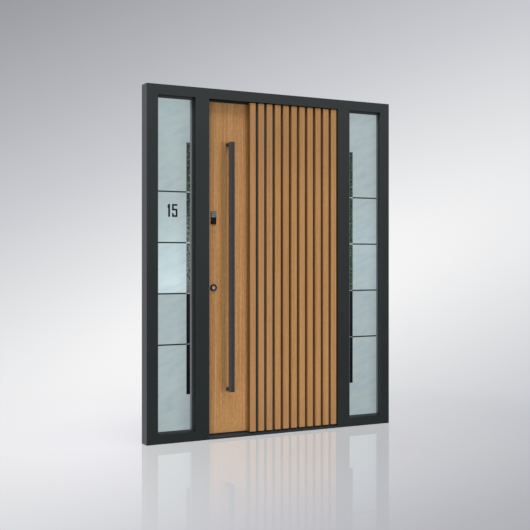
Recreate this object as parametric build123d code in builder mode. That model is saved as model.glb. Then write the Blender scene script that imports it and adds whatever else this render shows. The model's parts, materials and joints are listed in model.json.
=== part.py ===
"""Front door with a ribbed wooden leaf between two frosted sidelights, in a rebated metal frame."""

import os

from build123d import *

# Millimetres. X runs across the door, Y from the street side (-Y) to the hall side (+Y), Z up.
# The origin is on the floor, in the middle of the threshold's underside.

# Frame
frame_height = 2230.0
frame_depth = 86.0
jamb_face = 74.0
light_width = 254.0
mullion_face = 95.0
door_width = 960.0
head_face = 64.0
sill_rail_face = 60.0
frame_edge_radius = 1.5

# Glazing
glazing_lip_depth = 28.0
glazing_rebate = 22.0
pane_edge_cover = 16.0
pane_thickness = 6.0
pane_cavity = 20.0
gasket_thickness = 3.0
gasket_show = 12.0
spacer_width = 9.0
bead_gap = 0.3
glazing_fit = 0.2

# Stop and rebate that the leaf closes into
stop_depth = 36.0
seal_thickness = 4.0
seal_width = 8.0
leaf_overlap = 10.0
leaf_edge_gap = 9.0
leaf_stop_clearance = 5.0

# Threshold
threshold_height = 20.0
threshold_nose = 9.0
threshold_slope_depth = 26.0
leaf_floor_clearance = 5.5

# Leaf
panel_thickness = 4.0
core_thickness = 33.0
panel_top_border = 14.0
panel_bottom_border = 4.5
inner_border = 24.0
inner_panel_thickness = 4.0

# Ribbed field
slat_count = 11
slat_width = 42.0
slat_groove = 19.8
slat_thickness = 20.0
slat_edge_radius = 1.5
end_slat_return = 9.0
backing_thickness = 21.0
field_gap = 5.6

# Bar handle
bar_length = 1600.0
bar_width = 25.0
bar_depth = 40.0
bar_edge_radius = 1.0
bar_bottom_height = 296.0
bar_from_leaf_edge = 161.0
bar_finger_gap = 38.0
post_diameter = 25.0
post_end_distance = 13.0

# Lock, reader and inner lever
lock_backset = 59.0
lock_height = 964.0
lever_above_lock = 92.0
rosette_diameter = 45.0
rosette_thickness = 9.0
rosette_rim_chamfer = 2.0
cylinder_diameter = 25.0
cylinder_recess = 3.0
keyway_width = 2.4
keyway_height = 9.0
keyway_depth = 4.0
part_fit = 0.1
reader_height = 1410.0
reader_width = 36.0
reader_length = 83.0
reader_thickness = 5.0
reader_corner_radius = 3.0
sensor_length = 36.0
sensor_margin = 1.5
sensor_thickness = 2.0
lever_diameter = 19.0
lever_reach = 58.0
lever_length = 132.0
inner_rosette_thickness = 9.0

# Lock edge
faceplate_width = 20.0
faceplate_length = 240.0
faceplate_thickness = 3.0
faceplate_corner_radius = 3.0
latch_width = 12.0
latch_length = 34.0
deadbolt_length = 46.0
bolt_depth = 14.0
bolt_fit = 0.5
bolt_recess = 0.5
strike_pocket_depth = 16.0
strike_play = 3.0

# Hinges
hinge_heights = (262.0, 1100.0, 1938.0)
hinge_axis_offset = 13.0
hinge_barrel_radius = 9.0
hinge_pin_radius = 4.5
hinge_pin_fit = 0.05
hinge_middle_length = 48.0
hinge_end_length = 26.0
hinge_knuckle_gap = 0.6
hinge_wing_width = 36.0
hinge_wing_thickness = 3.0
hinge_axis_clearance = 2.0
hinge_cap_height = 5.0
hinge_cap_radius = 8.0

# Places worked out from the sizes above
frame_width = 2 * (jamb_face + light_width + mullion_face) + door_width
front = -frame_depth / 2
back = frame_depth / 2
head_bottom = frame_height - head_face
door_half = door_width / 2
light_inner = door_half + mullion_face
light_outer = light_inner + light_width
frame_half = frame_width / 2

glazing_lip_back = front + glazing_lip_depth
gasket_back = glazing_lip_back + gasket_thickness
outer_pane_back = gasket_back + pane_thickness
inner_pane_front = outer_pane_back + pane_cavity
inner_pane_back = inner_pane_front + pane_thickness

stop_back = front + stop_depth
seal_back = stop_back + seal_thickness
panel_front = seal_back + leaf_stop_clearance
core_front = panel_front + panel_thickness
core_back = core_front + core_thickness
leaf_back = core_back + inner_panel_thickness
door_rebate = leaf_overlap + leaf_edge_gap
rebate_half = door_half + door_rebate
leaf_half = door_half + leaf_overlap
leaf_bottom = threshold_height + leaf_floor_clearance
leaf_top = head_bottom + leaf_overlap
leaf_height = leaf_top - leaf_bottom

field_right = door_half - field_gap
field_width = slat_count * slat_width + (slat_count - 1) * slat_groove
field_left = field_right - field_width
field_bottom = leaf_bottom
field_top = head_bottom - field_gap
field_height = field_top - field_bottom
backing_front = core_front - backing_thickness
slat_front = backing_front - slat_thickness

bar_x = -leaf_half + bar_from_leaf_edge
bar_back = panel_front - bar_finger_gap
lock_x = -leaf_half + lock_backset
lever_height = lock_height + lever_above_lock
hinge_x = leaf_half + leaf_edge_gap / 2
hinge_y = back + hinge_axis_offset


def save(piece, name):
    """Label a finished piece and write it as its own STEP file."""
    piece.part.label = name
    export_step(piece.part, f"parts/{name}.step")


os.makedirs("parts", exist_ok=True)

# Jambs: full height bars with a glazing rebate along the sidelight
for side, name in ((-1, "frame_left_jamb"), (1, "frame_right_jamb")):
    with BuildPart() as jamb:
        with BuildSketch():
            with Locations((side * (frame_half - jamb_face / 2), 0)):
                Rectangle(jamb_face, frame_depth)
        extrude(amount=frame_height)
        outer_edges = jamb.edges().filter_by(Axis.Z).group_by(Axis.X)[0 if side < 0 else -1]
        fillet(outer_edges, frame_edge_radius)
        with BuildSketch(Plane.XY.offset(sill_rail_face - glazing_rebate)):
            with Locations((side * (light_outer + glazing_rebate / 2), (glazing_lip_back + back) / 2)):
                Rectangle(glazing_rebate, back - glazing_lip_back)
        extrude(
            amount=head_bottom - sill_rail_face + 2 * glazing_rebate,
            mode=Mode.SUBTRACT,
        )
    save(jamb, name)

# Head between the jambs, with rebates over both sidelights and over the leaf
with BuildPart() as head:
    with BuildSketch(Plane.XY.offset(head_bottom)):
        Rectangle(2 * light_outer, frame_depth)
    extrude(amount=head_face)
    with BuildSketch(Plane.XY.offset(head_bottom)):
        for side in (-1, 1):
            pocket_width = light_width + glazing_rebate
            pocket_x = side * (light_outer - pocket_width / 2)
            with Locations((pocket_x, (glazing_lip_back + back) / 2)):
                Rectangle(pocket_width, back - glazing_lip_back)
    extrude(amount=glazing_rebate, mode=Mode.SUBTRACT)
    with BuildSketch(Plane.XY.offset(head_bottom)):
        with Locations((0, (stop_back + back) / 2)):
            Rectangle(2 * rebate_half, back - stop_back)
    extrude(amount=door_rebate, mode=Mode.SUBTRACT)
save(head, "frame_head")

# Strike on the lock side: its plate and the pockets that take the bolts
strike_length = faceplate_length
latch_z = lock_height + faceplate_length / 4
deadbolt_z = lock_height - faceplate_length / 4
strike_y = (core_front + core_back) / 2
bolt_places = ((latch_z, latch_length), (deadbolt_z, deadbolt_length))

# Mullions: a glazing rebate on one side and the leaf's stop on the other
for side, name in ((-1, "left_mullion"), (1, "right_mullion")):
    with BuildPart() as mullion:
        with BuildSketch():
            with BuildLine():
                Polyline(
                    (side * light_inner, front),
                    (side * light_inner, glazing_lip_back),
                    (side * (light_inner - glazing_rebate), glazing_lip_back),
                    (side * (light_inner - glazing_rebate), back),
                    (side * rebate_half, back),
                    (side * rebate_half, stop_back),
                    (side * door_half, stop_back),
                    (side * door_half, front),
                    close=True,
                )
            make_face()
        extrude(amount=head_bottom)
        with BuildSketch():
            with Locations((side * (light_inner - glazing_rebate / 2), (glazing_lip_back + back) / 2)):
                Rectangle(glazing_rebate, back - glazing_lip_back)
        extrude(amount=sill_rail_face - glazing_rebate)
        if side < 0:
            with BuildSketch(Plane.YZ.offset(-rebate_half)):
                with Locations((strike_y, lock_height)):
                    RectangleRounded(faceplate_width, strike_length, faceplate_corner_radius)
            extrude(amount=-faceplate_thickness, mode=Mode.SUBTRACT)
            with BuildSketch(Plane.YZ.offset(-rebate_half)):
                for bolt_z, bolt_length in bolt_places:
                    with Locations((strike_y, bolt_z)):
                        Rectangle(latch_width + strike_play, bolt_length + strike_play)
            extrude(amount=-strike_pocket_depth, mode=Mode.SUBTRACT)
    save(mullion, name)

# Sill rails under the sidelights
for side, name in ((-1, "left_sill_rail"), (1, "right_sill_rail")):
    with BuildPart() as sill_rail:
        with BuildSketch(Plane.YZ.offset(side * (light_inner + light_outer) / 2)):
            with BuildLine():
                Polyline(
                    (front, 0),
                    (back, 0),
                    (back, sill_rail_face - glazing_rebate),
                    (glazing_lip_back, sill_rail_face - glazing_rebate),
                    (glazing_lip_back, sill_rail_face),
                    (front, sill_rail_face),
                    close=True,
                )
            make_face()
        extrude(amount=light_width / 2, both=True)
    save(sill_rail, name)

# Threshold with a sloped street edge, between the mullions
with BuildPart() as threshold:
    with BuildSketch(Plane.YZ):
        with BuildLine():
            Polyline(
                (front, 0),
                (back, 0),
                (back, threshold_height),
                (front + threshold_slope_depth, threshold_height),
                (front, threshold_nose),
                close=True,
            )
        make_face()
    extrude(amount=door_half, both=True)
    with BuildSketch():
        for side in (-1, 1):
            with Locations((side * (door_half + door_rebate / 2), (stop_back + back) / 2)):
                Rectangle(door_rebate, back - stop_back)
    extrude(amount=threshold_height)
save(threshold, "threshold")

# Sidelight glass: two panes per unit, held apart by a spacer ring
pane_width = light_width + 2 * pane_edge_cover
pane_bottom = sill_rail_face - pane_edge_cover
pane_height = head_bottom + pane_edge_cover - pane_bottom
pane_middle = pane_bottom + pane_height / 2
light_middle = (light_inner + light_outer) / 2

for side, word in ((-1, "left"), (1, "right")):
    for pane_front, layer in ((gasket_back, "outer"), (inner_pane_front, "inner")):
        with BuildPart() as pane:
            with BuildSketch(Plane.XZ.offset(-pane_front)):
                with Locations((side * light_middle, pane_middle)):
                    Rectangle(pane_width, pane_height)
            extrude(amount=-pane_thickness)
        save(pane, f"{word}_{layer}_pane")

with BuildPart() as spacers:
    with BuildSketch(Plane.XZ.offset(-outer_pane_back)):
        with Locations((-light_middle, pane_middle), (light_middle, pane_middle)):
            Rectangle(pane_width, pane_height)
            Rectangle(
                pane_width - 2 * (pane_edge_cover + spacer_width),
                pane_height - 2 * (pane_edge_cover + spacer_width),
                mode=Mode.SUBTRACT,
            )
    extrude(amount=-pane_cavity)
save(spacers, "glass_spacers")

with BuildPart() as gaskets:
    with BuildSketch(Plane.XZ.offset(-glazing_lip_back)):
        with Locations((-light_middle, pane_middle), (light_middle, pane_middle)):
            Rectangle(pane_width, pane_height)
            Rectangle(
                pane_width - 2 * (pane_edge_cover + gasket_show),
                pane_height - 2 * (pane_edge_cover + gasket_show),
                mode=Mode.SUBTRACT,
            )
    extrude(amount=-gasket_thickness)
save(gaskets, "glazing_gaskets")

# Beads close the glazing rebates on the hall side: uprights run through, cross bars fit between
bead_front = inner_pane_back + glazing_fit
bead_depth = back - bead_front
bead_bar = glazing_rebate
bead_outer_height = head_bottom - sill_rail_face + 2 * glazing_rebate
bead_cross_length = light_width - 2 * bead_gap
light_mid_height = (head_bottom + sill_rail_face) / 2
light_clear_height = head_bottom - sill_rail_face

with BuildPart() as beads:
    with BuildSketch(Plane.XZ.offset(-bead_front)):
        for side in (-1, 1):
            upright_shift = (light_width + bead_bar) / 2
            cross_shift = (light_clear_height + bead_bar) / 2
            with Locations(
                (side * light_middle - upright_shift, light_mid_height),
                (side * light_middle + upright_shift, light_mid_height),
            ):
                Rectangle(bead_bar, bead_outer_height)
            with Locations(
                (side * light_middle, light_mid_height - cross_shift),
                (side * light_middle, light_mid_height + cross_shift),
            ):
                Rectangle(bead_cross_length, bead_bar)
    extrude(amount=-bead_depth)
save(beads, "glazing_beads")

# Seal around three sides of the leaf's stop
with BuildPart() as seal:
    with BuildSketch(Plane.XZ.offset(-stop_back)):
        with BuildLine():
            Polyline(
                (-door_half, threshold_height),
                (-door_half, head_bottom),
                (door_half, head_bottom),
                (door_half, threshold_height),
                (door_half + seal_width, threshold_height),
                (door_half + seal_width, head_bottom + seal_width),
                (-door_half - seal_width, head_bottom + seal_width),
                (-door_half - seal_width, threshold_height),
                close=True,
            )
        make_face()
    extrude(amount=-seal_thickness)
save(seal, "door_seal")

with BuildPart() as strike:
    with BuildSketch(Plane.YZ.offset(-rebate_half)):
        with Locations((strike_y, lock_height)):
            RectangleRounded(faceplate_width, strike_length, faceplate_corner_radius)
        for bolt_z, bolt_length in bolt_places:
            with Locations((strike_y, bolt_z)):
                Rectangle(latch_width + strike_play, bolt_length + strike_play, mode=Mode.SUBTRACT)
    extrude(amount=-faceplate_thickness)
save(strike, "strike_plate")

# Leaf core, with the lock's pocket in its free edge
with BuildPart() as core:
    with BuildSketch(Plane.XY.offset(leaf_bottom)):
        with Locations((0, (core_front + core_back) / 2)):
            Rectangle(2 * leaf_half, core_thickness)
    extrude(amount=leaf_height)
    with BuildSketch(Plane.YZ.offset(-leaf_half)):
        with Locations((strike_y, lock_height)):
            RectangleRounded(faceplate_width, faceplate_length, faceplate_corner_radius)
    extrude(amount=faceplate_thickness, mode=Mode.SUBTRACT)
    with BuildSketch(Plane.YZ.offset(-leaf_half)):
        for bolt_z, bolt_length in bolt_places:
            with Locations((strike_y, bolt_z)):
                Rectangle(latch_width, bolt_length)
    extrude(amount=bolt_depth, mode=Mode.SUBTRACT)
save(core, "leaf_core")

with BuildPart() as faceplate:
    with BuildSketch(Plane.YZ.offset(-leaf_half)):
        with Locations((strike_y, lock_height)):
            RectangleRounded(faceplate_width, faceplate_length, faceplate_corner_radius)
        for bolt_z, bolt_length in bolt_places:
            with Locations((strike_y, bolt_z)):
                Rectangle(latch_width, bolt_length, mode=Mode.SUBTRACT)
    extrude(amount=faceplate_thickness)
save(faceplate, "lock_faceplate")

with BuildPart() as bolts:
    with BuildSketch(Plane.YZ.offset(-leaf_half + bolt_recess)):
        for bolt_z, bolt_length in bolt_places:
            with Locations((strike_y, bolt_z)):
                Rectangle(latch_width - bolt_fit, bolt_length - bolt_fit)
    extrude(amount=bolt_depth - bolt_recess)
save(bolts, "lock_bolts")

# Flat wooden panel beside the ribbed field
panel_left = -leaf_half
panel_right = field_left
panel_bottom = leaf_bottom + panel_bottom_border
panel_top = head_bottom - panel_top_border

with BuildPart() as panel:
    with BuildSketch(Plane.XZ.offset(-core_front)):
        with Locations(((panel_left + panel_right) / 2, (panel_bottom + panel_top) / 2)):
            Rectangle(panel_right - panel_left, panel_top - panel_bottom)
    extrude(amount=panel_thickness)
save(panel, "flat_panel")

# Ribbed field: dark backing, and slats whose end ones return to the leaf over the backing's edges
with BuildPart() as backing:
    with BuildSketch(Plane.XZ.offset(-core_front)):
        with Locations(((field_left + field_right) / 2, (field_bottom + field_top) / 2)):
            Rectangle(field_width - 2 * end_slat_return, field_height)
    extrude(amount=backing_thickness)
save(backing, "slat_backing")

for index in range(slat_count):
    slat_left = field_left + index * (slat_width + slat_groove)
    slat_right = slat_left + slat_width
    with BuildPart() as slat:
        with BuildSketch(Plane.XY.offset(field_bottom)):
            with Locations(((slat_left + slat_right) / 2, (slat_front + backing_front) / 2)):
                Rectangle(slat_width, slat_thickness)
            if index == 0:
                with Locations((slat_left + end_slat_return / 2, (backing_front + core_front) / 2)):
                    Rectangle(end_slat_return, backing_thickness)
            if index == slat_count - 1:
                with Locations((slat_right - end_slat_return / 2, (backing_front + core_front) / 2)):
                    Rectangle(end_slat_return, backing_thickness)
        extrude(amount=field_height)
        fillet(slat.edges().filter_by(Axis.Z).group_by(Axis.Y)[0], slat_edge_radius)
    save(slat, f"slat_{index + 1:02d}")

# Inner panel on the hall side
with BuildPart() as inner_panel:
    with BuildSketch(Plane.XZ.offset(-core_back)):
        with Locations((0, (leaf_bottom + leaf_top) / 2)):
            Rectangle(2 * (leaf_half - inner_border), leaf_height - 2 * inner_border)
    extrude(amount=-inner_panel_thickness)
save(inner_panel, "inner_panel")

# Bar handle on two posts
with BuildPart() as bar:
    with BuildSketch(Plane.XY.offset(bar_bottom_height)):
        with Locations((bar_x, bar_back - bar_depth / 2)):
            RectangleRounded(bar_width, bar_depth, bar_edge_radius)
    extrude(amount=bar_length)
save(bar, "handle_bar")

post_heights = (
    bar_bottom_height + post_end_distance,
    bar_bottom_height + bar_length - post_end_distance,
)
with BuildPart() as posts:
    with BuildSketch(Plane.XZ.offset(-panel_front)):
        with Locations(*[(bar_x, height) for height in post_heights]):
            Circle(post_diameter / 2)
    extrude(amount=bar_finger_gap)
save(posts, "handle_posts")

# Lock rosette on the street side, with the cylinder set back in it
with BuildPart() as rosette:
    with BuildSketch(Plane.XZ.offset(-panel_front)):
        with Locations((lock_x, lock_height)):
            Circle(rosette_diameter / 2)
            Circle(cylinder_diameter / 2 + part_fit, mode=Mode.SUBTRACT)
    extrude(amount=rosette_thickness)
    rim = rosette.edges().filter_by(GeomType.CIRCLE).group_by(Axis.Y)[0].sort_by(SortBy.RADIUS)[-1]
    chamfer(rim, rosette_rim_chamfer)
save(rosette, "lock_rosette")

cylinder_length = rosette_thickness - cylinder_recess

with BuildPart() as cylinder:
    with BuildSketch(Plane.XZ.offset(-panel_front)):
        with Locations((lock_x, lock_height)):
            Circle(cylinder_diameter / 2)
    extrude(amount=cylinder_length)
    with BuildSketch(Plane.XZ.offset(-panel_front + cylinder_length)):
        with Locations((lock_x, lock_height)):
            Rectangle(keyway_width, keyway_height)
    extrude(amount=-keyway_depth, mode=Mode.SUBTRACT)
save(cylinder, "lock_cylinder")

# Fingerprint reader: a black housing with a sensor window let into its upper half
sensor_width = reader_width - 2 * sensor_margin
sensor_z = reader_height + reader_length / 2 - sensor_margin - sensor_length / 2
reader_front = panel_front - reader_thickness

with BuildPart() as reader:
    with BuildSketch(Plane.XZ.offset(-panel_front)):
        with Locations((lock_x, reader_height)):
            RectangleRounded(reader_width, reader_length, reader_corner_radius)
    extrude(amount=reader_thickness)
    with BuildSketch(Plane.XZ.offset(-reader_front)):
        with Locations((lock_x, sensor_z)):
            RectangleRounded(sensor_width, sensor_length, reader_corner_radius - sensor_margin)
    extrude(amount=-sensor_thickness, mode=Mode.SUBTRACT)
save(reader, "reader_housing")

with BuildPart() as sensor:
    with BuildSketch(Plane.XZ.offset(-reader_front)):
        with Locations((lock_x, sensor_z)):
            RectangleRounded(
                sensor_width - 2 * part_fit,
                sensor_length - 2 * part_fit,
                reader_corner_radius - sensor_margin - part_fit,
            )
    extrude(amount=-sensor_thickness)
save(sensor, "reader_sensor")

# Inner rosettes, and a lever bent towards the hinges
with BuildPart() as inner_rosettes:
    with BuildSketch(Plane.XZ.offset(-leaf_back)):
        with Locations((lock_x, lock_height), (lock_x, lever_height)):
            Circle(rosette_diameter / 2)
    extrude(amount=-inner_rosette_thickness)
save(inner_rosettes, "inner_rosettes")

lever_root = leaf_back + inner_rosette_thickness
lever_y = leaf_back + lever_reach

with BuildPart() as lever:
    with BuildLine():
        lever_path = FilletPolyline(
            (lock_x, lever_root, lever_height),
            (lock_x, lever_y, lever_height),
            (lock_x + lever_length, lever_y, lever_height),
            radius=lever_diameter,
        )
    with BuildSketch(Plane.XZ.offset(-lever_root)):
        with Locations((lock_x, lever_height)):
            Circle(lever_diameter / 2)
    sweep(path=lever_path)
save(lever, "inner_lever")

# Barrel hinges: end knuckles on the frame, the middle knuckle on the leaf, one pin through each
barrel_length = hinge_middle_length + 2 * (hinge_end_length + hinge_knuckle_gap)


def knuckle_sketch(side):
    """Section of a barrel with the web that carries it to its wing, on the given side of the axis."""
    web = (hinge_axis_clearance, hinge_barrel_radius)
    with Locations((hinge_x, hinge_y)):
        Circle(hinge_barrel_radius)
    with Locations((hinge_x + side * sum(web) / 2, (back + hinge_y) / 2)):
        Rectangle(web[1] - web[0], hinge_y - back)
    with Locations((hinge_x, hinge_y)):
        Circle(hinge_pin_radius + hinge_pin_fit, mode=Mode.SUBTRACT)


def wing_sketch(side):
    """Section of a wing plate, flat on the hall side of what it is screwed to."""
    middle = hinge_x + side * (hinge_axis_clearance + hinge_wing_width / 2)
    with Locations((middle, back + hinge_wing_thickness / 2)):
        Rectangle(hinge_wing_width, hinge_wing_thickness)


with BuildPart() as frame_wings:
    for height in hinge_heights:
        bottom = height - barrel_length / 2
        with BuildSketch(Plane.XY.offset(bottom)):
            wing_sketch(1)
        extrude(amount=barrel_length)
        for knuckle_bottom in (bottom, bottom + barrel_length - hinge_end_length):
            with BuildSketch(Plane.XY.offset(knuckle_bottom)):
                knuckle_sketch(1)
            extrude(amount=hinge_end_length)
save(frame_wings, "hinge_frame_wings")

with BuildPart() as leaf_wings:
    for height in hinge_heights:
        with BuildSketch(Plane.XY.offset(height - barrel_length / 2)):
            wing_sketch(-1)
        extrude(amount=barrel_length)
        with BuildSketch(Plane.XY.offset(height - hinge_middle_length / 2)):
            knuckle_sketch(-1)
        extrude(amount=hinge_middle_length)
save(leaf_wings, "hinge_leaf_wings")

with BuildPart() as pins:
    for height in hinge_heights:
        bottom = height - barrel_length / 2
        with BuildSketch(Plane.XY.offset(bottom)):
            with Locations((hinge_x, hinge_y)):
                Circle(hinge_pin_radius)
        extrude(amount=barrel_length)
        with BuildSketch(Plane.XY.offset(bottom + barrel_length)):
            with Locations((hinge_x, hinge_y)):
                Circle(hinge_cap_radius)
        extrude(amount=hinge_cap_height)
save(pins, "hinge_pins")
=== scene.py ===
"""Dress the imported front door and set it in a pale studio.

Every solid gets a procedural finish. The house number, the screws, the reader's keys, the inner key plug and
the seal under the leaf are added as pieces. Lamps, a floor and the photograph's camera follow.
"""

import json
import math

import bmesh
import bpy
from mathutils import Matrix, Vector


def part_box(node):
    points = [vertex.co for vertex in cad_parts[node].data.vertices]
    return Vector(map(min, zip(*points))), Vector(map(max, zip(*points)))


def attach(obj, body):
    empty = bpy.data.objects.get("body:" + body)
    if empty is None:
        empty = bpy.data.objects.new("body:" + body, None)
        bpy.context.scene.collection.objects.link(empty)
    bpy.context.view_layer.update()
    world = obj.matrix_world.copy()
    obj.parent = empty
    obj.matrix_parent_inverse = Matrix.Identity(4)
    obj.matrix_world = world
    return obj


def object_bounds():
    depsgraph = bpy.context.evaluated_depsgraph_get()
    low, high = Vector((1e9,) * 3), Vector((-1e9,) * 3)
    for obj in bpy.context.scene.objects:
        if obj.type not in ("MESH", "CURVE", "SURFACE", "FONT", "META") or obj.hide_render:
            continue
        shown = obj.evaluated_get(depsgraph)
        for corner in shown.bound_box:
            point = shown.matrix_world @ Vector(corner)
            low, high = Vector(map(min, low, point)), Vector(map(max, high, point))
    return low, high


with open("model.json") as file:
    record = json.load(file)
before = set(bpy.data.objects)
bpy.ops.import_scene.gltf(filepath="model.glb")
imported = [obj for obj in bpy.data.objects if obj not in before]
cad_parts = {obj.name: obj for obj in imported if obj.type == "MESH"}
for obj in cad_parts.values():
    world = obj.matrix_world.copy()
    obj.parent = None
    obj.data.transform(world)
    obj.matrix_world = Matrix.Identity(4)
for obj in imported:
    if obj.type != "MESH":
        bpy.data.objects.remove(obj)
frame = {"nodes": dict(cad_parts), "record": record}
cad_low, cad_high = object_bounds()

MM = 0.001
BLACK = (0.0, 0.0, 0.0, 1.0)
WHITE = (1.0, 1.0, 1.0, 1.0)

# Camera, fitted to the photograph's edges
CAMERA_PLACE = (-3.1315, -5.762, 1.152)
CAMERA_TURN = math.radians(-28.083)
CAMERA_LENS = 67.4
CAMERA_SENSOR = 36.0
CAMERA_SHIFT_Y = -0.0128

# Point that the lamps face
LAMP_TARGET = (0.0, 0.0, 1.1)

# Pale band across the backdrop: its slope, how far it lies under the eye, and how it dims along its length
BAND_SLOPE = 0.37
BAND_DROP = 0.048
BAND_FALLOFF = 0.28

# Sine of the angle from the middle of the photograph beyond which the backdrop keeps its tone
BACKDROP_REACH = 0.28

# Where mirrored surroundings change, in sines: dark to pale upward, pale to dark rightward, front to back
MIRROR_RISE = (-0.17, 0.27)
MIRROR_DARKENING = (0.3, 0.75)
MIRROR_TURN = (-0.3, 0.3)

# Floor disc, with the shares of its own colour and of its mirror image and the radii over which they fade
FLOOR_RADIUS = 6.0
FLOOR_DROP = 0.5 * MM
FLOOR_SOLID = 0.2
FLOOR_SOLID_FADE = (0.5, 2.4)
FLOOR_GLOSS = 0.34
FLOOR_GLOSS_FADE = (0.4, 3.0)

# Values between which most of a noise pattern lies
NOISE_RANGE = (0.3, 0.7)

# Size of a normal's X from which a face starts to count, and fully counts, as looking sideways
SIDEWAYS_RANGE = (0.6, 0.8)

# Heights over which shade is painted into the oak under the head and above the sill, and the flat panel's
# painted shade along its left edge
HEAD_SHADE = (1.5, 2.0)
FOOT_SHADE = (0.05, 0.32)
EDGE_SHADE_INSET = 32 * MM
EDGE_SHADE_WIDTH = 45 * MM
EDGE_SHADE_TONE = 0.70

# Pattern that is left clear in the satin etched panes; inside the stripe lies a grey edge
PATTERN_MIDDLE = 1.090
LINE_PITCH = 0.3195
LINE_COUNT = 4
SECOND_LINE = PATTERN_MIDDLE - LINE_PITCH / 2
LINE_WIDTH = 9 * MM
TICK_WIDTH = 7 * MM
TICK_FADE = (0.8, 1.2)
TICK_FAINT = 0.35
STRIPE_LOW = 0.294
STRIPE_HIGH = 1.882
STRIPE_INNER = 0.600
STRIPE_OUTER = 0.625
RIGHT_STRIPE_SHIFT = 3.4 * MM
ETCH_SOFT = 0.3 * MM

# Satin of the panes: its painted glow and painted sky reflection by height, its slanted clouds of painted
# reflection and where shade is painted beside the reveals
GLOW_HEIGHT = 2.2
GLOW_SHARE = 0.8
RIGHT_GLOW_SHARE = 0.85
CLOUD_SLANT = 0.35
LEFT_DIM = (-0.70, -0.60)
RIGHT_DIM = (0.745, 0.83)
DIM_HEIGHTS = (0.3, 0.9)
DIM_SHARES = (0.20, 0.13)

# Pale patch in the painted green reflection of the clear stripe, and how much of it the right pane has
PATCH_MIDDLE = 1.15
PATCH_HEIGHT = 0.50
PATCH_SOFT = 0.08
RIGHT_PATCH = 0.15

# Share of light that clear glass mirrors when seen straight on
GLASS_MIRROR = 0.04

# Width of the glazing gasket, of which the frame covers a part, and the painted shadow line under its top
# run
GASKET_WIDTH = 28 * MM
TOP_SHADOW_LINE = 4 * MM

# House number on the left pane
NUMBER_MIDDLE_X = -0.720
NUMBER_BOTTOM = 1.4105
NUMBER_HEIGHT = 81 * MM
NUMBER_THICKNESS = 1.5 * MM

# Screws, reader keys and the seal under the leaf
HINGE_SCREW_RADIUS = 4.5 * MM
LOCK_SCREW_RADIUS = 3.6 * MM
SCREW_INSET = 12 * MM
SCREW_PITCH = 34 * MM
HINGE_LENGTH = 101 * MM
WING_THICKNESS = 3 * MM
KEY_RADIUS = 3.6 * MM
KEY_PITCH = 14 * MM
KEY_ROWS = 3
SEAL_CLEARANCE = 2 * MM
SEAL_INSET = 4 * MM


def srgb(red, painted_greenery, blue):
    """Linear colour from a picture's 0 to 255 numbers."""

    def linear(value):
        share = value / 255
        return share / 12.92 if share <= 0.04045 else ((share + 0.055) / 1.055) ** 2.4

    return (linear(red), linear(painted_greenery), linear(blue), 1.0)


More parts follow.
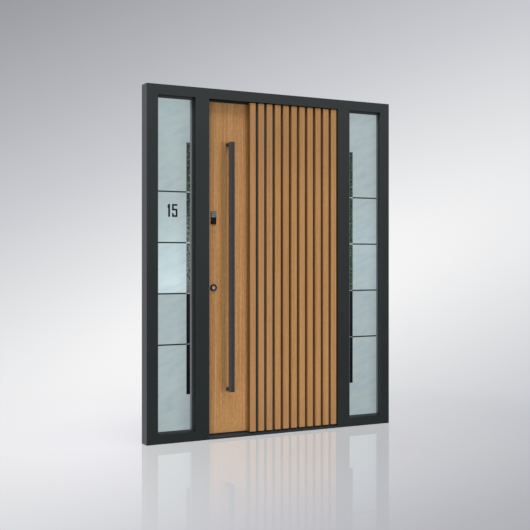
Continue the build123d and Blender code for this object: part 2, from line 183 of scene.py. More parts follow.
class Tree:
    """A node tree with short calls for the nodes that the finishes use."""

    def __init__(self, tree):
        self.nodes = tree.nodes
        self.links = tree.links

    def add(self, kind, **settings):
        """New shader node of a kind, with its settings."""
        node = self.nodes.new("ShaderNode" + kind)
        for name, value in settings.items():
            setattr(node, name, value)
        return node

    def feed(self, socket, value):
        """Link a socket's value, or set a plain one."""
        if isinstance(value, bpy.types.NodeSocket):
            self.links.new(value, socket)
        else:
            socket.default_value = value

    def maths(self, operation, first, second=0.0):
        """Result of an operation on one or two values."""
        node = self.add("Math", operation=operation)
        self.feed(node.inputs[0], first)
        self.feed(node.inputs[1], second)
        return node.outputs[0]

    def times(self, first, *others):
        """Product of values."""
        product = first
        for other in others:
            product = self.maths("MULTIPLY", product, other)
        return product

    def weighted(self, first, *others):
        """Sum of values; each comes with its weight."""
        total = self.times(*first)
        for other in others:
            total = self.maths("ADD", total, self.times(*other))
        return total

    def rest(self, share):
        """What a share leaves of one."""
        return self.maths("SUBTRACT", 1.0, share)

    def distance(self, x, y):
        """Length of a flat vector."""
        return self.maths("SQRT", self.maths("ADD", self.times(x, x), self.times(y, y)))

    def split(self, vector):
        """X, Y and Z of a vector."""
        node = self.add("SeparateXYZ")
        self.feed(node.inputs[0], vector)
        return node.outputs[0], node.outputs[1], node.outputs[2]

    def joined(self, x, y, z):
        """Vector of X, Y and Z."""
        node = self.add("CombineXYZ")
        for socket, value in zip(node.inputs, (x, y, z)):
            self.feed(socket, value)
        return node.outputs[0]

    def noise(self, vector, scale, detail, roughness=0.5):
        """Noise whose scale along each axis is in features per metre."""
        stretched = self.add("VectorMath", operation="MULTIPLY")
        self.feed(stretched.inputs[0], vector)
        self.feed(stretched.inputs[1], scale)
        node = self.add("TexNoise")
        self.feed(node.inputs["Vector"], stretched.outputs[0])
        node.inputs["Scale"].default_value = 1.0
        node.inputs["Detail"].default_value = detail
        node.inputs["Roughness"].default_value = roughness
        return node.outputs[0]

    def spread(self, value, low, high, to_low=0.0, to_high=1.0, smooth=False):
        """Map the range low to high onto another one, and hold its ends beyond."""
        node = self.add("MapRange", interpolation_type="SMOOTHSTEP" if smooth else "LINEAR")
        for socket, number in zip(node.inputs, (value, low, high, to_low, to_high)):
            self.feed(socket, number)
        return node.outputs[0]

    def varied(self, noise, low, high):
        """Noise brought to the range low to high."""
        return self.spread(noise, *NOISE_RANGE, low, high)

    def past(self, value, place, soft):
        """1 where value is over place, with a soft edge."""
        return self.spread(value, place - soft, place + soft)

    def inside(self, value, middle, width, soft):
        """1 where value is in a stretch of that middle and width, with soft edges."""
        away = self.maths("ABSOLUTE", self.maths("SUBTRACT", value, middle))
        return self.spread(away, width / 2 - soft, width / 2 + soft, 1.0, 0.0)

    def ramp(self, value, *stops):
        """Colour by value; each stop is a place and a colour."""
        node = self.add("ValToRGB")
        elements = node.color_ramp.elements
        while len(elements) < len(stops):
            elements.new(1.0)
        for element, (place, colour) in zip(elements, stops):
            element.position = place
            element.color = colour
        self.feed(node.inputs[0], value)
        return node.outputs[0]

    def mixed(self, share, first, second, blend="MIX"):
        """Two colours mixed; share is the second one's."""
        node = self.add("Mix", data_type="RGBA", blend_type=blend)
        self.feed(node.inputs[0], share)
        self.feed(node.inputs[6], first)
        self.feed(node.inputs[7], second)
        return node.outputs[2]

    def shaded(self, colour, factor):
        """Colour times a plain factor."""
        return self.mixed(1.0, colour, self.joined(factor, factor, factor), "MULTIPLY")

    def mixed_shaders(self, share, first, second):
        """Two shader nodes mixed; share is the second one's."""
        node = self.add("MixShader")
        self.feed(node.inputs[0], share)
        self.feed(node.inputs[1], first.outputs[0])
        self.feed(node.inputs[2], second.outputs[0])
        return node


class Finish(Tree):
    """A material that starts from one Principled shader, in object coordinates."""

    def __init__(self, name, metallic=0.0, specular=0.5):
        self.material = bpy.data.materials.new(name)
        self.material.use_nodes = True
        super().__init__(self.material.node_tree)
        self.surface = self.nodes["Principled BSDF"]
        self.surface.inputs["Metallic"].default_value = metallic
        self.surface.inputs["Specular IOR Level"].default_value = specular
        coordinates = self.add("TexCoord")
        self.place = coordinates.outputs["Object"]
        self.normal = coordinates.outputs["Normal"]

    def colour(self, value):
        """Give the surface its base colour."""
        self.feed(self.surface.inputs["Base Color"], value)

    def roughness(self, value):
        """Give the surface its roughness."""
        self.feed(self.surface.inputs["Roughness"], value)

    def relief(self, height, depth, strength):
        """Give the surface fine bumps."""
        node = self.add("Bump")
        node.inputs["Strength"].default_value = strength
        node.inputs["Distance"].default_value = depth
        self.feed(node.inputs["Height"], height)
        self.feed(self.surface.inputs["Normal"], node.outputs[0])

    def sideways(self, elsewhere=0.0, there=1.0):
        """One value on the faces that look left or right, another on the rest."""
        normal_x, _, _ = self.split(self.normal)
        return self.spread(self.maths("ABSOLUTE", normal_x), *SIDEWAYS_RANGE, elsewhere, there)

    def show(self, shader):
        """Put another shader node in the surface's place."""
        self.feed(self.nodes["Material Output"].inputs["Surface"], shader.outputs[0])


def sidelight_reveals(finish):
    """1 on the frame's faces that look sideways into a sidelight, where light is painted."""
    x, _, _ = finish.split(finish.place)
    low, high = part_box("right_outer_pane")
    within = finish.inside(finish.maths("ABSOLUTE", x), (low.x + high.x) / 2, high.x - low.x, MM)
    return finish.times(finish.sideways(), within)


def powder_coat(name, dark, light, roughness=0.42, specular=0.5, painted_reveal_light=None):
    """Matt coat with fine orange peel and faint clouds; its optional second tone is painted light on the
    faces beside the sidelights.
    """
    finish = Finish(name, specular=specular)
    clouds = finish.noise(finish.place, (3, 3, 3), detail=4.0)
    peel = finish.noise(finish.place, (900, 900, 900), detail=2.0)
    specks = finish.noise(finish.place, (2600, 2600, 2600), detail=1.0)
    tone = finish.weighted((clouds, 0.6), (specks, 0.4))
    coat = finish.ramp(tone, (0.36, dark), (0.64, light))
    if painted_reveal_light:
        # Painted light: the faces beside the sidelights get a lighter tone
        coat = finish.mixed(sidelight_reveals(finish), coat, painted_reveal_light)
    finish.colour(coat)
    finish.roughness(finish.varied(peel, roughness - 0.06, roughness + 0.06))
    finish.relief(peel, 0.05 * MM, strength=0.5)
    return finish.material


def bar_coat(name, face, flank):
    """Satin coat of the bar handle, with a painted reflection that makes its two flanks a little lighter and
    cooler.
    """
    finish = Finish(name, specular=0.25)
    peel = finish.noise(finish.place, (900, 900, 900), detail=2.0)
    brushed = finish.noise(finish.place, (1200, 1200, 30), detail=3.0)
    # Painted reflection: the flanks take the lighter, cooler colour
    coat = finish.mixed(finish.sideways(), face, flank)
    finish.colour(finish.mixed(finish.varied(brushed, 0.0, 0.14), coat, srgb(30, 30, 31)))
    finish.roughness(finish.varied(peel, 0.44, 0.56))
    finish.relief(peel, 0.04 * MM, strength=0.4)
    return finish.material


def oak_shade(finish, lift, flank=1.0, head=1.0, foot=1.0, edge=None):
    """Painted light and shade on oak's tone: lift all over, flank on sideways faces, head and foot at the
    two ends.

    Edge, where given, is the X at which painted shade along a left edge starts.
    """
    x, _, z = finish.split(finish.place)
    shade = finish.sideways(lift, lift * flank)
    # Painted shade: darker under the head and above the sill
    painted_head_shade = finish.spread(z, *HEAD_SHADE, 1.0, head, smooth=True)
    painted_sill_shade = finish.spread(z, *FOOT_SHADE, foot, 1.0, smooth=True)
    shade = finish.times(shade, painted_head_shade, painted_sill_shade)
    # Painted shade: darker along the left edge, next to the frame
    if edge is not None:
        shade = finish.times(shade, finish.spread(x, edge, edge + EDGE_SHADE_WIDTH, EDGE_SHADE_TONE, 1.0))
    return shade


def oak(name, board_start, board_pitch, contrast=1.0, **shade):
    """Oiled oak with upright grain; every board along X is cut from another place.

    Contrast spreads the tones of the grain, and shade is what oak_shade takes.
    """
    finish = Finish(name, specular=0.3)
    x, y, z = finish.split(finish.place)
    board = finish.maths("DIVIDE", finish.maths("SUBTRACT", x, board_start), board_pitch)
    board = finish.maths("MAXIMUM", finish.maths("FLOOR", board), 0.0)
    drawn = finish.add("TexWhiteNoise", noise_dimensions="1D")
    finish.feed(drawn.inputs["W"], board)
    chance = drawn.outputs["Value"]
    log_length = 9.0
    shift = finish.times(chance, log_length)
    grain = finish.joined(x, finish.maths("ADD", y, shift), finish.maths("ADD", z, shift))

    wander = finish.noise(grain, (5, 5, 1.5), detail=2.0)
    sway = 12 * MM
    bent = finish.joined(finish.maths("ADD", x, finish.times(wander, sway)), shift, z)
    streaks = finish.noise(bent, (120, 120, 0.7), detail=3.0, roughness=0.6)
    bands = finish.noise(grain, (170, 170, 3.2), detail=4.0, roughness=0.65)
    flecks = finish.noise(grain, (150, 150, 55), detail=2.0)
    fibres = finish.noise(grain, (520, 520, 9), detail=4.0, roughness=0.65)
    pores = finish.spread(finish.noise(grain, (1500, 1500, 26), detail=2.0), 0.62, 0.74)

    tone = finish.weighted((streaks, 0.37), (bands, 0.22), (flecks, 0.20), (fibres, 0.19), (chance, 0.02))
    tone = finish.spread(tone, 0.5 - 0.5 / contrast, 0.5 + 0.5 / contrast)
    wood = finish.ramp(
        tone,
        (0.30, srgb(148, 101, 56)),
        (0.44, srgb(168, 121, 73)),
        (0.54, srgb(180, 133, 84)),
        (0.70, srgb(200, 155, 105)),
    )
    wood = finish.mixed(finish.times(pores, 0.3), wood, srgb(110, 74, 42))
    finish.colour(finish.shaded(wood, oak_shade(finish, **shade)))
    finish.roughness(finish.varied(fibres, 0.48, 0.62))
    finish.relief(finish.maths("SUBTRACT", fibres, finish.times(pores, 0.8)), 0.12 * MM, strength=0.5)
    return finish.material


def stained_board(name):
    """Dark stained board behind the slats."""
    finish = Finish(name, specular=0.25)
    fibres = finish.noise(finish.place, (500, 500, 8), detail=4.0)
    finish.colour(finish.ramp(fibres, (0.35, srgb(52, 58, 62)), (0.65, srgb(66, 72, 76))))
    finish.roughness(0.7)
    finish.relief(fibres, 0.1 * MM, strength=0.4)
    return finish.material


def etched_masks(finish, across, z):
    """Masks of what the etching leaves clear: the stripe, the lines beyond it and the grey inner edge."""
    tall = finish.inside(z, (STRIPE_LOW + STRIPE_HIGH) / 2, STRIPE_HIGH - STRIPE_LOW, ETCH_SOFT)
    wide = finish.inside(across, (STRIPE_INNER + STRIPE_OUTER) / 2, STRIPE_OUTER - STRIPE_INNER, ETCH_SOFT)
    lines_height = LINE_PITCH * LINE_COUNT
    above_start = finish.maths("SUBTRACT", z, PATTERN_MIDDLE - lines_height / 2)
    from_gap = finish.maths("PINGPONG", above_start, LINE_PITCH / 2)
    from_line = finish.maths("SUBTRACT", LINE_PITCH / 2, from_gap)
    among_lines = finish.inside(z, PATTERN_MIDDLE, lines_height, ETCH_SOFT)
    beyond_stripe = finish.past(across, STRIPE_OUTER, ETCH_SOFT)
    lines = finish.times(finish.inside(from_line, 0.0, LINE_WIDTH, ETCH_SOFT), among_lines, beyond_stripe)
    strength = finish.spread(z, *TICK_FADE, TICK_FAINT, 1.0)
    ticks = finish.times(finish.inside(from_line, 0.0, TICK_WIDTH, ETCH_SOFT), among_lines, strength)
    stripe = finish.times(tall, wide, finish.rest(ticks))
    edge = finish.rest(finish.past(across, STRIPE_INNER, ETCH_SOFT))
    return stripe, lines, edge


def satin_tone(finish, x, z, right_pane):
    """Tone of the satin by height, a painted sky reflection with faint painted clouds, with painted shade
    beside the reveals.
    """
    height = finish.spread(z, 0.0, GLOW_HEIGHT)
    # Painted reflection of the sky by height; the step at the second line is part of it
    left_painted_sky_glow = finish.ramp(
        height,
        (0.08, srgb(164, 178, 180)),
        (0.17, srgb(169, 183, 185)),
        ((SECOND_LINE - ETCH_SOFT) / GLOW_HEIGHT, srgb(167, 182, 184)),
        ((SECOND_LINE + ETCH_SOFT) / GLOW_HEIGHT, srgb(196, 212, 217)),
        (0.455, srgb(204, 221, 226)),
        (0.485, srgb(197, 215, 220)),
        (0.547, srgb(189, 207, 211)),
        (0.618, srgb(178, 195, 198)),
        (0.69, srgb(169, 184, 186)),
        (0.95, srgb(166, 181, 183)),
    )
    right_painted_sky_glow = finish.ramp(
        height,
        (0.10, srgb(159, 173, 176)),
        (0.30, srgb(165, 179, 182)),
        (0.48, srgb(162, 178, 182)),
        (0.56, srgb(169, 186, 190)),
        (0.75, srgb(166, 180, 182)),
    )
    satin = finish.mixed(finish.times(right_pane, RIGHT_GLOW_SHARE), left_painted_sky_glow, right_painted_sky_glow)
    # Painted reflection of faint slanted clouds
    slanted = finish.joined(x, 0.0, finish.maths("SUBTRACT", z, finish.times(x, CLOUD_SLANT)))
    clouds = finish.noise(slanted, (9, 9, 24), detail=4.0, roughness=0.6)
    painted_cloud_reflection = finish.ramp(
        clouds,
        (0.33, (0.88, 0.93, 0.98, 1.0)),
        (0.5, WHITE),
        (0.67, (1.07, 1.04, 1.0, 1.0)),
    )
    satin = finish.mixed(1.0, satin, painted_cloud_reflection, "MULTIPLY")
    # Painted shade: the satin is darker beside the reveals
    left_reveal = finish.times(finish.spread(x, *LEFT_DIM), finish.rest(right_pane))
    near_reveal = finish.maths("ADD", left_reveal, finish.spread(x, *RIGHT_DIM))
    painted_reveal_shade = finish.times(near_reveal, finish.spread(z, *DIM_HEIGHTS, *DIM_SHARES))
    return finish.shaded(satin, finish.rest(painted_reveal_shade))


def clear_tone(finish, z, right_pane, lines, edge):
    """Tone of the clear parts: a painted reflection of mottled green with a pale patch, black low down, and
    a grey inner edge.
    """
    # Painted reflection of greenery in the clear parts
    mottle = finish.noise(finish.place, (90, 90, 60), detail=4.0, roughness=0.6)
    painted_greenery = finish.ramp(
        mottle,
        (0.36, srgb(14, 34, 22)),
        (0.52, srgb(35, 57, 39)),
        (0.68, srgb(104, 124, 94)),
    )
    painted_pale_patch = finish.times(
        finish.spread(mottle, 0.38, 0.58),
        finish.inside(z, PATCH_MIDDLE, PATCH_HEIGHT, PATCH_SOFT),
        finish.spread(right_pane, 0.0, 1.0, 1.0, RIGHT_PATCH),
    )
    tone = finish.mixed(painted_pale_patch, painted_greenery, srgb(120, 128, 114))
    tone = finish.mixed(finish.past(z, SECOND_LINE, ETCH_SOFT), srgb(12, 12, 12), tone)
    tone = finish.mixed(lines, tone, srgb(30, 36, 43))
    return finish.mixed(edge, tone, srgb(118, 118, 126))


def etched_glass(name):
    """Satin etched panes with a painted glow that stands in for light from the hall, with clear parts and a
    painted shadow line at the top.
    """
    finish = Finish(name, specular=0.4)
    x, _, z = finish.split(finish.place)
    right_pane = finish.maths("GREATER_THAN", x, 0.0)
    across = finish.maths("ADD", finish.maths("ABSOLUTE", x), finish.times(right_pane, RIGHT_STRIPE_SHIFT))
    stripe, lines, edge = etched_masks(finish, across, z)
    # Painted shadow: the top of the panes is dark where the head shades it
    painted_top_shadow = finish.past(z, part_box("glazing_gaskets")[1].z - GASKET_WIDTH - TOP_SHADOW_LINE, ETCH_SOFT)
    clear = painted_top_shadow
    for mask in (stripe, lines, edge):
        clear = finish.maths("MAXIMUM", clear, mask)

    satin = satin_tone(finish, x, z, right_pane)
    tone = clear_tone(finish, z, right_pane, lines, edge)
    tone = finish.mixed(painted_top_shadow, tone, srgb(30, 31, 33))
    finish.colour(finish.mixed(clear, finish.mixed(GLOW_SHARE, satin, BLACK), tone))
    # Painted light: the satin glows as if lit from the hall
    finish.feed(finish.surface.inputs["Emission Color"], finish.mixed(clear, satin, BLACK))
    finish.surface.inputs["Emission Strength"].default_value = GLOW_SHARE
    finish.roughness(finish.spread(clear, 0.0, 1.0, 0.36, 0.08))
    grit = finish.noise(finish.place, (1800, 1800, 1800), detail=2.0)
    finish.relief(finish.times(grit, finish.rest(clear)), 0.03 * MM, strength=0.3)
    return finish.material


def clear_glass(name):
    """Plain float glass: mostly clear, with a mirror at its surface that grows toward grazing views."""
    finish = Finish(name)
    through = finish.add("BsdfTransparent")
    through.inputs["Color"].default_value = srgb(247, 251, 250)
    mirror = finish.add("BsdfGlossy")
    mirror.inputs["Color"].default_value = (0.9, 0.95, 0.93, 1.0)
    dust = finish.noise(finish.place, (30, 30, 30), detail=5.0)
    finish.feed(mirror.inputs["Roughness"], finish.spread(dust, 0.4, 0.8, 0.02, 0.08))
    slant = finish.add("LayerWeight")
    slant.inputs["Blend"].default_value = 0.5
    grazing = finish.maths("POWER", slant.outputs["Facing"], 5.0)
    mirrored = finish.spread(grazing, 0.0, 1.0, GLASS_MIRROR, 1.0)
    finish.show(finish.mixed_shaders(mirrored, through, mirror))
    return finish.material


def jamb_gaskets(finish):
    """1 on the gaskets' upright runs along the outer jambs."""
    low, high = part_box("glazing_gaskets")
    x, _, z = finish.split(finish.place)
    upright = finish.inside(z, (low.z + high.z) / 2, high.z - low.z - 2 * GASKET_WIDTH, 0.2 * MM)
    inner_edge = high.x - GASKET_WIDTH
    near_jamb = finish.spread(finish.maths("ABSOLUTE", x), inner_edge - MM, inner_edge)
    return finish.times(upright, near_jamb)


def rubber(name, dark, light, jamb_tone=None):
    """Soft sealing rubber with a dusty bloom; its optional second tone is a lighter lilac grey on gaskets
    along the outer jambs.
    """
    finish = Finish(name, specular=0.3)
    bloom = finish.noise(finish.place, (60, 60, 12), detail=4.0)
    grit = finish.noise(finish.place, (2200, 2200, 2200), detail=1.0)
    tone = finish.ramp(bloom, (0.35, dark), (0.7, light))
    if jamb_tone:
        tone = finish.mixed(jamb_gaskets(finish), tone, jamb_tone)
    finish.colour(tone)
    finish.roughness(finish.varied(bloom, 0.55, 0.72))
    finish.relief(grit, 0.03 * MM, strength=0.4)
    return finish.material


def brushed_steel(name):
    """Stainless steel brushed along its height."""
    finish = Finish(name, metallic=1.0)
    lines = finish.noise(finish.place, (2400, 2400, 60), detail=3.0)
    finish.colour(finish.ramp(lines, (0.3, srgb(168, 168, 170)), (0.7, srgb(206, 206, 206))))
    finish.roughness(finish.varied(lines, 0.24, 0.4))
    finish.relief(lines, 0.02 * MM, strength=0.4)
    return finish.material


def satin_nickel(name):
    """Pale satin metal of the lock cylinder."""
    finish = Finish(name, metallic=0.5)
    turned = finish.noise(finish.place, (900, 900, 900), detail=3.0)
    finish.colour(finish.ramp(turned, (0.3, srgb(166, 165, 161)), (0.7, srgb(192, 191, 186))))
    finish.roughness(finish.varied(turned, 0.3, 0.44))
    finish.relief(turned, 0.02 * MM, strength=0.3)
    return finish.material


def gloss_plastic(name, dark, light, specular=0.5):
    """Moulded plastic with a polished face."""
    finish = Finish(name, specular=specular)
    waves = finish.noise(finish.place, (70, 70, 40), detail=2.0)
    finish.colour(finish.ramp(waves, (0.35, dark), (0.7, light)))
    finish.roughness(finish.varied(waves, 0.08, 0.16))
    finish.relief(waves, 0.05 * MM, strength=0.2)
    return finish.material


slat_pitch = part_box("slat_03")[1].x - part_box("slat_02")[1].x
whole_width = cad_high.x - cad_low.x
# Where the painted shade along the flat panel's left edge starts
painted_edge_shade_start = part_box("flat_panel")[0].x + EDGE_SHADE_INSET
SATIN_COAT = {"roughness": 0.5, "specular": 0.25}
# The oak's lift paints light and shade: the slats are painted a little darker and the panels lighter
SLAT_OAK = {
    "board_start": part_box("slat_01")[1].x - slat_pitch,
    "board_pitch": slat_pitch,
    "lift": 0.98,
    "head": 0.88,
    "foot": 0.91,
}
PANEL_OAK = {
    "board_start": -whole_width,
    "board_pitch": 2 * whole_width,
    "lift": 1.08,
    "contrast": 1.45,
}
FINISHES = {
    # The frame coat's reveal tone is painted light beside the sidelights
    "frame_metal": powder_coat("frame_coat", srgb(25, 31, 31), srgb(29, 36, 36), painted_reveal_light=srgb(52, 56, 57)),
    "leaf_metal": powder_coat("leaf_coat", srgb(30, 34, 34), srgb(35, 39, 39)),
    "threshold_metal": powder_coat("threshold_coat", srgb(32, 36, 40), srgb(40, 44, 49), **SATIN_COAT),
    "frosted_glass": etched_glass("etched_glass"),
    "clear_glass": clear_glass("float_glass"),
    "spacer_black": rubber("spacer_black", srgb(18, 18, 18), srgb(28, 28, 28)),
    "seal_rubber": rubber("seal_rubber", srgb(24, 25, 26), srgb(36, 37, 38)),
    "oak": oak("oak_slats", **SLAT_OAK),
    "groove_board": stained_board("groove_board"),
    "handle_metal": powder_coat("handle_coat", srgb(50, 51, 53), srgb(57, 58, 60), **SATIN_COAT),
    "steel": brushed_steel("brushed_steel"),
    "hinge_metal": powder_coat("hinge_coat", srgb(38, 43, 43), srgb(46, 51, 51), roughness=0.38),
    "reader_black": gloss_plastic("reader_black", srgb(2, 2, 3), srgb(6, 6, 7), specular=0.15),
    "reader_sensor": gloss_plastic("reader_sensor", srgb(78, 90, 104), srgb(112, 124, 138)),
}
SPECIAL_FINISHES = {
    # The bar coat's second colour is a painted reflection on its flanks
    "handle_bar": bar_coat("bar_coat", srgb(54, 55, 56), srgb(98, 103, 108)),
    "flat_panel": oak("oak_panel", head=0.88, foot=0.97, edge=painted_edge_shade_start, **PANEL_OAK),
    "inner_panel": oak("oak_inner", **PANEL_OAK),
    "glazing_gaskets": rubber(
        "gasket_grey", srgb(60, 61, 63), srgb(68, 69, 71), jamb_tone=srgb(116, 115, 123)
    ),
    # The first slat's sideways flank is painted darker, as shade
    "slat_01": oak("oak_first_slat", flank=0.68, **SLAT_OAK),
    "lock_rosette": powder_coat(
        "rosette_coat", srgb(26, 27, 29), srgb(33, 34, 36), roughness=0.45, specular=0.3
    ),
    "lock_cylinder": satin_nickel("satin_nickel"),
}
KEY_FINISHES = {
    "reader_sensor": gloss_plastic("key_pale", srgb(112, 122, 132), srgb(132, 142, 152)),
    "reader_black": gloss_plastic("key_dark", srgb(22, 23, 25), srgb(30, 31, 33)),
}
number_black = rubber("number_black", srgb(6, 7, 10), srgb(12, 13, 16))

for part in frame["record"]["subparts"]:
    node = frame["nodes"][part["node"]]
    node.data.materials.clear()
    node.data.materials.append(SPECIAL_FINISHES.get(part["node"], FINISHES[part["material_slot"]]))


def stroke_outline(path, half):
    """Outline of a mitred stroke along a path of upright and level runs."""
    points = [Vector(p) for p in path]
    sides = {1: [], -1: []}
    for index, point in enumerate(points):
        before = (point - points[index - 1]).normalized() if index else None
        after = (points[index + 1] - point).normalized() if index + 1 < len(points) else None
        before = before or after
        after = after or before
        turn = before + after
        normal = Vector((-turn.y, turn.x)).normalized()
        reach = half / normal.dot(Vector((-before.y, before.x)))
        for side in sides:
            sides[side].append(point + normal * reach * side)
    return sides[1] + sides[-1][::-1]


def piece(name, mesh, finish, body):
    """Turn a finished bmesh into a named piece that rides on a body."""
    bmesh.ops.recalc_face_normals(mesh, faces=mesh.faces[:])
    data = bpy.data.meshes.new(name)
    mesh.to_mesh(data)
    mesh.free()
    data.materials.append(finish)
    made = bpy.data.objects.new(name, data)
    bpy.context.scene.collection.objects.link(made)
    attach(made, body)


def thicken(mesh, faces, along):
    """Extrude faces of a mesh by a vector."""
    made = bmesh.ops.extrude_face_region(mesh, geom=faces)
    moved = [part for part in made["geom"] if isinstance(part, bmesh.types.BMVert)]
    bmesh.ops.translate(mesh, verts=moved, vec=along)


def plate(outline, corner, left, bottom, back, thickness):
    """Mesh of a thin upright plate of that outline, its corners rounded, standing off the face at back."""
    mesh = bmesh.new()
    vertices = [mesh.verts.new((left + p[0], back, bottom + p[1])) for p in outline]
    mesh.faces.new(vertices)
    bmesh.ops.bevel(mesh, geom=mesh.verts[:], offset=corner, segments=4, profile=0.5, affect="VERTICES")
    thicken(mesh, mesh.faces[:], (0, -thickness, 0))
    return mesh


def house_number():
    """Plain digits 1 and 5 stuck on the left outer pane."""
    glass_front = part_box("left_outer_pane")[0].y
    top = NUMBER_HEIGHT
    stem = 12 * MM
    flag = 5 * MM
    one_width = flag + stem
    shoulder = flag + 2 * MM
    tip_top = top - 14 * MM
    tip_bottom = top - 21 * MM
    flag_root = top - 26 * MM
    one_corner = 2 * MM
    one = [
        (flag, 0),
        (one_width, 0),
        (one_width, top),
        (shoulder, top),
        (0, tip_top),
        (0, tip_bottom),
        (flag, flag_root),
    ]
    five_width = 36 * MM
    half = 5.5 * MM
    waist = 46 * MM
    hook = 24 * MM
    five_corner = 2.5 * MM
    five = stroke_outline(
        [
            (five_width, top - half),
            (half, top - half),
            (half, waist),
            (five_width - half, waist),
            (five_width - half, half),
            (half, half),
            (half, hook),
        ],
        half,
    )
    gap = 14 * MM
    left = NUMBER_MIDDLE_X - (one_width + gap + five_width) / 2
    layout = (
        ("number_one", one, left, one_corner),
        ("number_five", five, left + one_width + gap, five_corner),
    )
    for name, outline, start, corner in layout:
        digit = plate(outline, corner, start, NUMBER_BOTTOM, glass_front, NUMBER_THICKNESS)
        piece(name, digit, number_black, "frame")


def add_turned(mesh, place, facing, rings):
    """Add a closed turned form; each ring is a radius, a height and how many flats it has, none if round."""
    turn = Vector(facing).to_track_quat("Z", "Y")
    corners = 36
    before = None
    for radius, height, flats in rings:
        ring = []
        for index in range(corners):
            angle = 2 * math.pi * index / corners
            reach = radius
            if flats:
                half = math.pi / flats
                reach *= math.cos(half) / math.cos(angle % (2 * half) - half)
            point = Vector((reach * math.cos(angle), reach * math.sin(angle), height))
            ring.append(mesh.verts.new(Vector(place) + turn @ point))
        if before:
            for index in range(corners):
                after = (index + 1) % corners
                mesh.faces.new((before[index], before[after], ring[after], ring[index]))
        else:
            mesh.faces.new(ring[::-1])
        before = ring
    mesh.faces.new(before)


def screws(name, places, facing, radius, finish, body):
    """Oval screw heads with a hexagon socket, sunk a little into their plate."""
    proud = 0.6 * MM
    sunk = 0.4 * MM
    rim = 0.3 * proud
    dome = 0.8 * proud
    flats = 6
    rings = (
        (radius, -sunk, 0),
        (radius, rim, 0),
        (0.88 * radius, dome, 0),
        (0.7 * radius, proud, 0),
        (0.5 * radius, proud, flats),
        (0.48 * radius, 0.0, flats),
    )
    mesh = bmesh.new()
    for place in places:
        add_turned(mesh, place, facing, rings)
    piece(name, mesh, finish, body)


def hinge_screws():
    """Three screws through each hinge wing."""
    for wings, body, toward in (("hinge_frame_wings", "frame", 1), ("hinge_leaf_wings", "leaf", -1)):
        low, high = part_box(wings)
        free_edge = high.x if toward > 0 else low.x
        x = free_edge - toward * SCREW_INSET
        heights = (low.z + HINGE_LENGTH / 2, (low.z + high.z) / 2, high.z - HINGE_LENGTH / 2)
        steps = (-SCREW_PITCH, 0.0, SCREW_PITCH)
        places = [(x, low.y + WING_THICKNESS, height + step) for height in heights for step in steps]
        name = f"{body}_hinge_screws"
        screws(name, places, (0, 1, 0), HINGE_SCREW_RADIUS, FINISHES["hinge_metal"], body)


def lock_screws():
    """Two screws in the strike plate and two in the lock's faceplate."""
    for plate_node, body, facing in (("strike_plate", "frame", 1), ("lock_faceplate", "leaf", -1)):
        low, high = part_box(plate_node)
        x = high.x if facing > 0 else low.x
        y = (low.y + high.y) / 2
        places = [(x, y, low.z + SCREW_INSET), (x, y, high.z - SCREW_INSET)]
        name = f"{plate_node}_screws"
        screws(name, places, (facing, 0, 0), LOCK_SCREW_RADIUS, FINISHES["steel"], body)


def reader_keys():
    """Two columns of small round keys on the reader, pale on its upper window and dark below."""
    low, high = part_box("reader_sensor")
    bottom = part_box("reader_housing")[0].z
    middle = (low.x + high.x) / 2
    sunk = 0.3 * MM
    rim = 0.2 * MM
    crown = 0.4 * MM
    dish = 0.3 * MM
    rings = (
        (KEY_RADIUS, -sunk, 0),
        (KEY_RADIUS, rim, 0),
        (0.8 * KEY_RADIUS, crown, 0),
        (0.6 * KEY_RADIUS, dish, 0),
    )
    halves = (
        ("reader_upper_keys", low.z, high.z, "reader_sensor"),
        ("reader_lower_keys", bottom, low.z, "reader_black"),
    )
    for name, start, end, slot in halves:
        mesh = bmesh.new()
        row_pitch = (end - start) / KEY_ROWS
        for row in range(KEY_ROWS):
            for side in (-1, 1):
                place = (middle + side * KEY_PITCH / 2, low.y, start + row_pitch * (row + 0.5))
                add_turned(mesh, place, (0, -1, 0), rings)
        piece(name, mesh, KEY_FINISHES[slot], "leaf")


def inner_key_plug():
    """Round lock plug with its keyway, on the lower inner rosette, in line with the outer cylinder."""
    low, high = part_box("lock_cylinder")
    x = (low.x + high.x) / 2
    z = (low.z + high.z) / 2
    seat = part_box("inner_rosettes")[1].y
    radius = 11.0 * MM
    sunk = 0.5 * MM
    proud = 2.2 * MM
    chamfer = 0.6 * MM
    core_radius = 7.0 * MM
    groove_width = 0.6 * MM
    groove_depth = 0.5 * MM
    rings = (
        (radius, -sunk, 0),
        (radius, proud - chamfer, 0),
        (radius - chamfer, proud, 0),
        (core_radius + groove_width, proud, 0),
        (core_radius + groove_width / 2, proud - groove_depth, 0),
        (core_radius, proud, 0),
    )
    mesh = bmesh.new()
    add_turned(mesh, (x, seat, z), (0, 1, 0), rings)
    piece("inner_key_plug", mesh, SPECIAL_FINISHES["lock_cylinder"], "leaf")

    half_wide = 1.1 * MM
    half_tall = 4.6 * MM
    corner = 0.9 * MM
    thickness = 0.4 * MM
    keyway_proud = 0.1 * MM
    outline = [
        (-half_wide, -half_tall),
        (half_wide, -half_tall),
        (half_wide, half_tall),
        (-half_wide, half_tall),
    ]
    keyway = plate(outline, corner, x, z, seat + proud + keyway_proud, thickness)
    piece("inner_keyway", keyway, FINISHES["spacer_black"], "leaf")


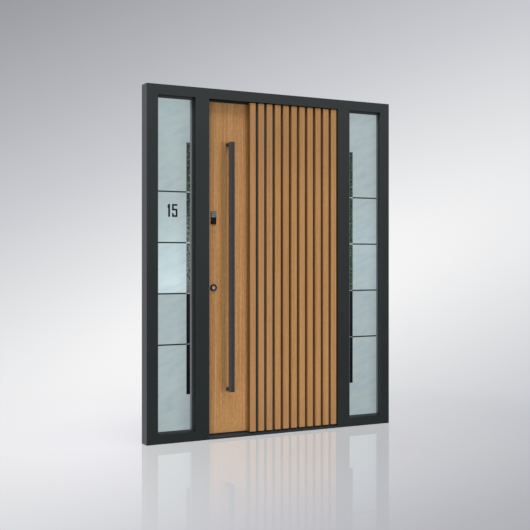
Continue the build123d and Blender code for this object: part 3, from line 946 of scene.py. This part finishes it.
def bottom_seal():
    """Rubber seal with two lips under the leaf, just clear of the threshold."""
    low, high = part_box("leaf_core")
    gap = low.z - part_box("threshold")[1].z
    drop = gap - SEAL_CLEARANCE
    web = 1.5 * MM
    lip_tip = 2.0 * MM
    lip_root = 2.8 * MM
    width = 14 * MM
    start = (low.y + high.y) / 2 - width / 2
    section = [
        (0, 0),
        (width, 0),
        (width, -drop),
        (width - lip_tip, -drop),
        (width - lip_root, -web),
        (lip_root, -web),
        (lip_tip, -drop),
        (0, -drop),
    ]
    mesh = bmesh.new()
    end = [mesh.verts.new((low.x + SEAL_INSET, start + y, low.z + z)) for y, z in section]
    thicken(mesh, [mesh.faces.new(end)], (high.x - low.x - 2 * SEAL_INSET, 0, 0))
    piece("bottom_seal", mesh, FINISHES["seal_rubber"], "leaf")


house_number()
hinge_screws()
lock_screws()
reader_keys()
inner_key_plug()
bottom_seal()


def light(name, place, size, power, mirrored=True):
    """White area lamp that faces the door; mirrored says if glossy surfaces show it."""
    data = bpy.data.lights.new(name, "AREA")
    data.shape = "RECTANGLE"
    data.size, data.size_y = size
    data.energy = power
    lamp = bpy.data.objects.new(name, data)
    lamp.location = place
    lamp.rotation_euler = (Vector(LAMP_TARGET) - Vector(place)).to_track_quat("-Z", "Y").to_euler()
    lamp.visible_glossy = mirrored
    bpy.context.scene.collection.objects.link(lamp)


def backdrop_tone(tree, x, y, z):
    """Backdrop that the camera sees: a slanted pale band on grey, held beyond the photograph's edges."""
    reach = BACKDROP_REACH
    to_right = tree.weighted((x, math.cos(CAMERA_TURN)), (y, math.sin(CAMERA_TURN)))
    to_right = tree.spread(to_right, -reach, reach, -reach, reach)
    height = tree.spread(z, -reach, reach, -reach, reach)
    above_band = tree.maths("SUBTRACT", height, tree.times(to_right, BAND_SLOPE))
    above_band = tree.maths("ADD", above_band, BAND_DROP)
    along_band = tree.times(to_right, BAND_FALLOFF)
    return tree.ramp(
        tree.distance(above_band, along_band),
        (0.0, srgb(250, 250, 250)),
        (0.05, srgb(242, 242, 243)),
        (0.12, srgb(224, 225, 227)),
        (0.20, srgb(203, 204, 209)),
        (0.28, srgb(183, 184, 189)),
        (0.36, srgb(163, 164, 169)),
        (0.40, srgb(153, 154, 159)),
    )


def mirrored_tone(tree, x, y, z):
    """Surroundings in mirrors and glass: in front dark to pale upward, behind pale to dark rightward."""
    high_front = (1.0, 1.02, 1.02, 1.0)
    pale_back = (0.86, 0.82, 0.91, 1.0)
    dark_back = (0.20, 0.20, 0.21, 1.0)
    front = tree.ramp(tree.spread(z, *MIRROR_RISE), (0.0, BLACK), (1.0, high_front))
    back = tree.ramp(tree.spread(x, *MIRROR_DARKENING), (0.0, pale_back), (1.0, dark_back))
    return tree.mixed(tree.spread(y, *MIRROR_TURN, smooth=True), front, back)


def studio_world():
    """Backdrop for the camera, surroundings for mirrors and glass, and an even soft light for all else."""
    world = bpy.data.worlds.new("studio")
    world.use_nodes = True
    bpy.context.scene.world = world
    tree = Tree(world.node_tree)
    x, y, z = tree.split(tree.add("TexCoord").outputs["Generated"])
    from_below = (0.48, 0.485, 0.49, 1.0)
    from_above = (0.54, 0.545, 0.55, 1.0)
    soft = tree.mixed(tree.spread(z, -1.0, 1.0), from_below, from_above)
    path = tree.add("LightPath")
    mirror_ray = tree.maths("MAXIMUM", path.outputs["Is Glossy Ray"], path.outputs["Is Transmission Ray"])
    unseen = tree.mixed(mirror_ray, soft, mirrored_tone(tree, x, y, z))
    shown = tree.mixed(path.outputs["Is Camera Ray"], unseen, backdrop_tone(tree, x, y, z))
    tree.feed(tree.nodes["Background"].inputs["Color"], shown)


def floor():
    """Pale polished floor that fades out into the backdrop."""
    mesh = bmesh.new()
    bmesh.ops.create_circle(mesh, cap_ends=True, segments=96, radius=FLOOR_RADIUS)
    data = bpy.data.meshes.new("floor")
    mesh.to_mesh(data)
    mesh.free()
    plane = bpy.data.objects.new("floor", data)
    plane.location.z = -FLOOR_DROP
    plane.visible_glossy = False
    bpy.context.scene.collection.objects.link(plane)

    finish = Finish("floor_pale", specular=0.0)
    finish.colour(srgb(242, 244, 244))
    through = finish.add("BsdfTransparent")
    mirror = finish.add("BsdfGlossy")
    mirror.inputs["Color"].default_value = WHITE
    mirror.inputs["Roughness"].default_value = 0.03
    x, y, _ = finish.split(finish.place)
    radius = finish.distance(x, y)
    solid = finish.spread(radius, *FLOOR_SOLID_FADE, FLOOR_SOLID, 0.0, smooth=True)
    gloss = finish.spread(radius, *FLOOR_GLOSS_FADE, FLOOR_GLOSS, 0.0, smooth=True)
    lit = finish.mixed_shaders(solid, through, finish.surface)
    finish.show(finish.mixed_shaders(gloss, lit, mirror))
    plane.data.materials.append(finish.material)


def camera():
    """Camera at the photograph's viewpoint, level, with a small shift for its framing."""
    data = bpy.data.cameras.new("camera")
    data.sensor_width = CAMERA_SENSOR
    data.lens = CAMERA_LENS
    data.shift_y = CAMERA_SHIFT_Y
    viewer = bpy.data.objects.new("camera", data)
    viewer.location = CAMERA_PLACE
    viewer.rotation_euler = (math.radians(90), 0, CAMERA_TURN)
    bpy.context.scene.collection.objects.link(viewer)
    bpy.context.scene.camera = viewer


light("key", place=(5.2, -11.3, 1.2), size=(0.5, 0.7), power=352, mirrored=False)
light("overhead", place=(0.0, -8.0, 20.0), size=(16.0, 6.0), power=3200)
light("behind", place=(5.0, 9.0, 5.0), size=(6.0, 5.0), power=450, mirrored=False)
studio_world()
floor()
camera()
bpy.context.scene.view_settings.view_transform = "Standard"
